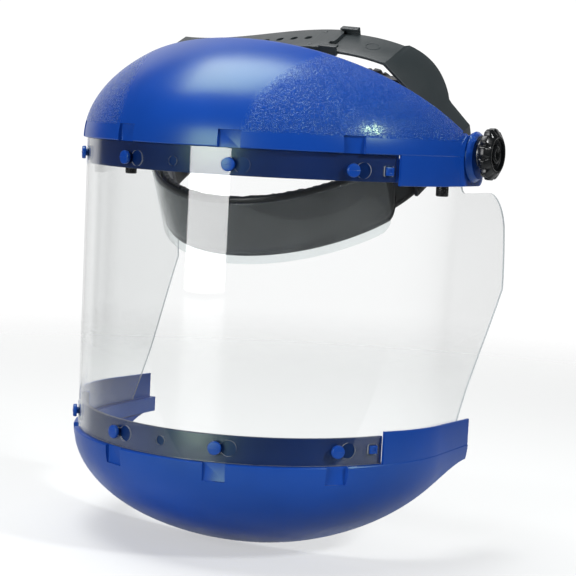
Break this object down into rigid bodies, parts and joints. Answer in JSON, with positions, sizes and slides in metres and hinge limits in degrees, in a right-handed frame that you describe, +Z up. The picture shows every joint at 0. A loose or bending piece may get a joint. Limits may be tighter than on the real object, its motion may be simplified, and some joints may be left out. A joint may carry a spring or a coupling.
{
  "type": "protective face shield",
  "caption": "Protective face shield: blue crown and chin guard holding a clear wrap-around window, tilting on side knobs over a padded ratchet headband.",
  "frame": {"origin": "centre of the head opening, half way up the headband ring", "axes": "+Z up with the shield upright, -Y the way the wearer looks, +X the wearer's left; the headgear ring is tipped 24 degrees front-down about X"},
  "size_m": [0.2578, 0.2457, 0.2944],
  "materials": {
    "blue_shell": "moulded royal-blue thermoplastic, glossy at the front and fine leather grain at the sides",
    "clear_window": "clear polished sheet",
    "clear_film": "clear flexible film",
    "black_plastic": "satin black moulded plastic",
    "knob": "semi-gloss black moulded plastic",
    "strap": "satin charcoal moulded strap, fine grain",
    "vinyl": "soft charcoal vinyl, satin",
    "foam": "matt closed-cell foam with a fabric face",
    "steel": "zinc plated"
  },
  "bodies": {
    "headgear": {"headband_front": "black_plastic", "brow_pad": "foam", "brow_pad_cover": "vinyl", "brow_film": "clear_film", "side_hanger_left": "black_plastic", "pivot_bolt_left": "steel", "tilt_stop_left": "black_plastic", "friction_washer_left": "black_plastic", "spring_washer_left": "steel", "hanger_rivet_left_front": "black_plastic", "hanger_rivet_left_rear": "black_plastic", "side_hanger_right": "black_plastic", "pivot_bolt_right": "steel", "tilt_stop_right": "black_plastic", "friction_washer_right": "black_plastic", "spring_washer_right": "steel", "hanger_rivet_right_front": "black_plastic", "hanger_rivet_right_rear": "black_plastic", "overhead_strap_left": "strap", "overhead_strap_right": "strap", "ratchet_housing": "black_plastic", "ratchet_cover": "black_plastic", "detent_ring": "black_plastic", "ratchet_screw": "steel", "nape_pad": "foam"},
    "shield": {"crown_shell": "blue_shell", "face_window": "clear_window", "chin_guard": "blue_shell"},
    "knob_left": {"tension_knob_left": "knob", "knob_insert_left": "knob"},
    "knob_right": {"tension_knob_right": "knob", "knob_insert_right": "knob"},
    "dial": {"ratchet_dial": "knob", "ratchet_pinion": "black_plastic"},
    "nape_left": {"nape_strap_left": "black_plastic"},
    "nape_right": {"nape_strap_right": "black_plastic"}
  },
  "joints": [
    {"name": "shield_tilt", "type": "hinge", "parent": "headgear", "child": "shield", "pos_m": [0, -0.00447, 0.01005], "axis": [-1, 0, 0], "range_deg": [-26, 68]},
    {"name": "knob_left_turn", "type": "hinge", "parent": "headgear", "child": "knob_left", "pos_m": [0.1246, -0.00447, 0.01005], "axis": [1, 0, 0], "range_deg": [-45, 360]},
    {"name": "knob_right_turn", "type": "hinge", "parent": "headgear", "child": "knob_right", "pos_m": [-0.1246, -0.00447, 0.01005], "axis": [-1, 0, 0], "range_deg": [-45, 360]},
    {"name": "dial_turn", "type": "hinge", "parent": "headgear", "child": "dial", "pos_m": [0, 0.08587, 0.03823], "axis": [0, 0.9135, 0.4067], "range_deg": [0, 90]},
    {"name": "nape_left_slide", "type": "slide", "parent": "headgear", "child": "nape_left", "axis": [1, 0, 0], "range_m": [0, 0.0079]},
    {"name": "nape_right_slide", "type": "slide", "parent": "headgear", "child": "nape_right", "axis": [-1, 0, 0], "range_m": [0, 0.0079]}
  ],
  "couplings": [
    {"joint": "nape_left_slide", "follows": "dial_turn", "m_per_rad": 0.005},
    {"joint": "nape_right_slide", "follows": "dial_turn", "m_per_rad": 0.005}
  ]
}
